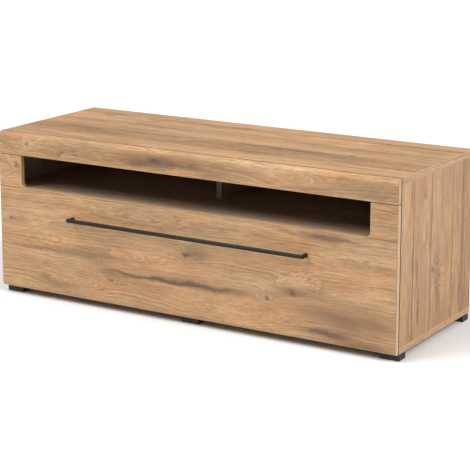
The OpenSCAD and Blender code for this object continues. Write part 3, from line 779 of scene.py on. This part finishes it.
anthracite = brushed_metal("anthracite_satin", (0.040, 0.038, 0.037), 0.33)
handle_round = (2.2 * MM,) * 4
handle = [
    node_board("handle_bar_metal", "handle_bar", "drawer", "anthracite_metal", X, Z, [anthracite],
               radii=handle_round, end_round=0.8 * MM),
    node_board("handle_left_post_metal", "handle_left_post", "drawer", "anthracite_metal", Y, X,
               [anthracite], radii=handle_round, end_round=0.5 * MM),
    node_board("handle_right_post_metal", "handle_right_post", "drawer", "anthracite_metal", Y, X,
               [anthracite], radii=handle_round, end_round=0.5 * MM),
]
print("handle pieces:", [piece.name for piece in handle])

# %% [markdown]
# ## The feet
#
# Six moulded blocks in black plastic. Moulded plastic has soft edges and a fine, even spark-eroded
# texture with a dull shine.

# %% Shape and finish the feet
def moulded_plastic(name, base, rough, grain_size=0.35 * MM):
    """Plastic with a fine eroded texture: small bumps of about grain_size and slow shade changes."""
    finish = Finish(name)
    place = finish.node("TexCoord").outputs["Object"]
    fine = finish.noise(place, detail=2.0, scale=1 / grain_size / 3)
    slow = finish.noise(place, detail=2.0, scale=35.0)
    finish.set(
        Base_Color=finish.blend(slow, (*[0.82 * c for c in base], 1.0), (*[1.18 * c for c in base], 1.0)),
        Roughness=finish.between(fine, 0.3, 0.7, rough - 0.06, rough + 0.06),
        Specular_IOR_Level=0.4,
    )
    finish.bump(fine, 0.25, 0.08 * MM)
    return finish.material


black_plastic = moulded_plastic("black_moulded_plastic", (0.022, 0.022, 0.023), 0.55)
FOOT_ROUND = 1.6 * MM
feet = []
for row in ("front", "rear"):
    for where in ("left", "middle", "right"):
        feet.append(node_board(f"{row}_{where}_foot_block", f"foot_{row}_{where}", "carcass",
                               "black_plastic", X, Y, [black_plastic], radii=(FOOT_ROUND,) * 4,
                               end_round=FOOT_ROUND))
print("feet:", len(feet))

# %% [markdown]
# ## The back
#
# Thin hardboard in grooves, fixed to the shelf with screws. Both faces are sealed with a thin grey
# coat, so it is grey-brown and faintly mottled, and the fine felt-like grain shows through.

# %% Finish the hardboard back
def pressed_fibre(name, base):
    """Hardboard: short matted fibres in all directions, darker flecks and slow cloudy changes."""
    finish = Finish(name)
    place = finish.node("TexCoord").outputs["Object"]
    felt = finish.noise(place, detail=4.0, rough=0.65, scale=420.0)
    cloud = finish.noise(place, detail=3.0, scale=7.0)
    fleck = finish.between(finish.noise(place, detail=2.0, scale=190.0), 0.64, 0.72, 0.0, 0.5)
    tone = add_up(finish, [(felt, 0.5), (cloud, 0.5)])
    colour = finish.ramp(tone, (0.3, tuple(0.78 * c for c in base)), (0.7, tuple(1.15 * c for c in base)))
    finish.set(Base_Color=finish.blend(fleck, colour, (0.16, 0.09, 0.05, 1.0)), Roughness=0.78)
    finish.bump(felt, 0.3, 0.1 * MM)
    return finish.material


hardboard = pressed_fibre("hardboard", (0.41, 0.350, 0.300))
back = node_board("hardboard_back", "back_panel", "carcass", "hardboard", X, Z, [hardboard],
                  radii=(CRISP_ROUND,) * 4, end_round=CRISP_ROUND)
print("back:", back.name)

# %% [markdown]
# ## The drawer box
#
# Inside, the drawer is plain white melamine-faced board. The facing has a fine pearl texture, and
# the thin bottom slides in grooves with a batten under its middle.

# %% Finish and shape the drawer box
def melamine(name, base):
    """White facing with a fine pearl texture: soft bumps about a millimetre across."""
    finish = Finish(name)
    place = finish.node("TexCoord").outputs["Object"]
    pearl = finish.noise(place, detail=2.0, scale=900.0)
    slow = finish.noise(place, detail=2.0, scale=5.0)
    finish.set(
        Base_Color=finish.blend(slow, (*[0.96 * c for c in base], 1.0), (*base, 1.0)),
        Roughness=finish.between(pearl, 0.3, 0.7, 0.38, 0.50),
    )
    finish.bump(pearl, 0.15, 0.06 * MM)
    return finish.material


white_board = melamine("white_melamine", (0.78, 0.76, 0.72))
BOX_ROUND = 0.6 * MM
box_boards = [
    node_board(name, node, "drawer", slot, along, across, [white_board],
               radii=(BOX_ROUND,) * 4, end_round=BOX_ROUND)
    for name, node, slot, along, across in (
        ("drawer_left_side_board", "drawer_left_side", "white_board", Y, Z),
        ("drawer_right_side_board", "drawer_right_side", "white_board", Y, Z),
        ("drawer_back_board", "drawer_back", "white_board", X, Z),
        ("drawer_bottom_board", "drawer_bottom", "white_board", X, Y),
        ("drawer_batten_board", "drawer_batten", "white_board", Y, X),
    )
]
print("drawer boards:", len(box_boards))

# %% [markdown]
# ## Fittings
#
# The slides, screws, bolts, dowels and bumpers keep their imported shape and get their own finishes:
# rolled zinc-plated steel, beech and soft clear plastic.

# %% Finish the fittings
def rolled_steel(name, base, rough):
    """Zinc-plated sheet: spangled crystals a few millimetres wide and fine rolling lines along Y."""
    finish = Finish(name)
    place = finish.node("TexCoord").outputs["Object"]
    cells = finish.node("TexVoronoi")
    finish.feed(cells.inputs["Vector"], place)
    cells.inputs["Scale"].default_value = 260.0
    spangle = finish.parts(cells.outputs["Color"])[0]
    lines = finish.noise(finish.stretched(place, (2400.0, 20.0, 2400.0)), detail=2.0)
    finish.set(
        Base_Color=finish.blend(spangle, (*[0.86 * c for c in base], 1.0), (*[1.08 * c for c in base], 1.0)),
        Roughness=finish.between(lines, 0.3, 0.7, rough - 0.05, rough + 0.07),
        Metallic=1.0,
    )
    finish.bump(lines, 0.1, 0.04 * MM)
    return finish.material


def turned_beech(name, base):
    """Beech dowel: pale wood with short darker flecks."""
    finish = Finish(name)
    place = finish.node("TexCoord").outputs["Object"]
    fleck = finish.noise(place, detail=3.0, scale=600.0)
    finish.set(
        Base_Color=finish.ramp(fleck, (0.35, tuple(0.75 * c for c in base)), (0.65, base)),
        Roughness=0.7,
    )
    finish.bump(fleck, 0.2, 0.05 * MM)
    return finish.material


zinc = rolled_steel("zinc_plated_steel", (0.60, 0.61, 0.62), 0.34)
cast_zinc = rolled_steel("cast_zinc", (0.42, 0.42, 0.43), 0.48)
beech = turned_beech("beech", (0.62, 0.43, 0.27))
bumper = moulded_plastic("soft_bumper", (0.55, 0.55, 0.53), 0.35)
for name, node in nodes.items():
    if node.hide_render:
        continue
    if "dowel" in name:
        finish = beech
    elif "bumper" in name:
        finish = bumper
    elif "spacer" in name:
        finish = black_plastic
    else:
        finish = zinc
    node.data.materials.clear()
    node.data.materials.append(finish)

# %% [markdown]
# ## Cam faces
#
# A cam is a cast zinc drum sunk in its board. Only its face is seen, as a disc with a cross for the
# screwdriver. The boards above are closed surfaces, so each face stands a third of a millimetre
# proud of its board, like the flange of a real cam. The disc is a polar grid whose height drops
# inside the two arms of the cross, with both poles closed by fans.

# %% Press the cam faces
CAM_RADIUS = 7.5 * MM
CAM_PROUD = 0.35 * MM
CROSS_HALF_LENGTH = 5.0 * MM
CROSS_HALF_WIDTH = 0.9 * MM


def cam_faces(name, node, body, seats):
    """Discs at the seats, each a (centre, outward direction). Over the radius r and the angle a, the
    height is CAM_PROUD outside the cross |r cos a| or |r sin a| < CROSS_HALF_WIDTH and a fifth of it
    inside; the rim then turns down into the board."""
    radius = np.concatenate([np.linspace(0.3, CAM_RADIUS / MM - 0.15, 22), [CAM_RADIUS / MM] * 2]) * MM
    angle = np.linspace(0, 2 * math.pi, 96, endpoint=False)
    u, v = radius[:, None] * np.cos(angle), radius[:, None] * np.sin(angle)
    near, far = np.minimum(abs(u), abs(v)), np.maximum(abs(u), abs(v))
    wall = np.maximum(near - CROSS_HALF_WIDTH, far - CROSS_HALF_LENGTH) / (0.25 * MM)
    height = CAM_PROUD * (0.2 + 0.8 * np.clip(wall + 0.5, 0, 1))
    height[-2], height[-1] = CAM_PROUD - 0.1 * MM, -0.1 * MM
    disc = np.concatenate([np.stack([u, v, height], -1).reshape(-1, 3),
                           [(0, 0, 0.2 * CAM_PROUD), (0, 0, -0.1 * MM)]])
    count = len(angle)
    quads = quads_between_rings(len(radius), count)
    start, last = np.arange(count), np.arange(count) + (len(radius) - 1) * count
    fans = [np.stack([np.full(count, len(disc) - 2), start, np.roll(start, -1)], -1),
            np.stack([np.full(count, len(disc) - 1), np.roll(last, -1), last], -1)]
    points, faces = [], []
    for number, (centre, outward) in enumerate(seats):
        outward = np.array(outward, float)
        side = np.roll(outward, 1)
        turned = disc @ np.stack([side, np.cross(outward, side), outward])
        points.append(turned + centre)
        offset = number * len(disc)
        for group in [quads] + fans:
            faces += [tuple(corner) for corner in (group + offset).tolist()]
    points = np.concatenate(points)
    grain = [points[list(face)][:, :2] for face in faces]
    piece = make_piece(name, points, faces, grain, [True] * len(faces), [0] * len(faces), [cast_zinc])
    return stand_in(piece, body, "zinc_steel", node)


inner_side = abs(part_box("left_side")[1][X])
case_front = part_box("left_side")[0][Y]
under_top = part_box("top_panel")[0][Z]
under_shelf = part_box("niche_shelf")[0][Z]
box_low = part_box("drawer_right_side")[0]
BOLT_REACH = 34 * MM
CASE_ROWS_MM = (45, 240, 425)
CASE_HEIGHTS_MM = (72, 468)
RAIL_PLACES_MM = (-540, -180, 180, 540)
BOX_HEIGHTS_MM = (98, 198)
case_rows = [case_front + step * MM for step in CASE_ROWS_MM]
side_seats = [((hand * inner_side, y, z * MM), (-hand, 0, 0))
              for hand in (-1, 1) for y in case_rows for z in CASE_HEIGHTS_MM]
shelf_seats = [((hand * (inner_side - BOLT_REACH), y, under_shelf), (0, 0, -1))
               for hand in (-1, 1) for y in case_rows]
rail_seats = [((x * MM, case_front + BOLT_REACH, under_top), (0, 0, -1)) for x in RAIL_PLACES_MM]
box_seats = [((hand * box_low[X], box_low[Y] + BOLT_REACH, z * MM), (-hand, 0, 0))
             for hand in (-1, 1) for z in BOX_HEIGHTS_MM]
cams = [
    cam_faces("carcass_cam_faces", "carcass_cams", "carcass", side_seats + shelf_seats),
    cam_faces("rail_cam_faces", "rail_cams", "carcass", rail_seats),
    cam_faces("drawer_cam_faces", "drawer_cams", "drawer", box_seats),
]
print("cam faces:", len(side_seats + shelf_seats + rail_seats + box_seats), "in", len(cams), "pieces")
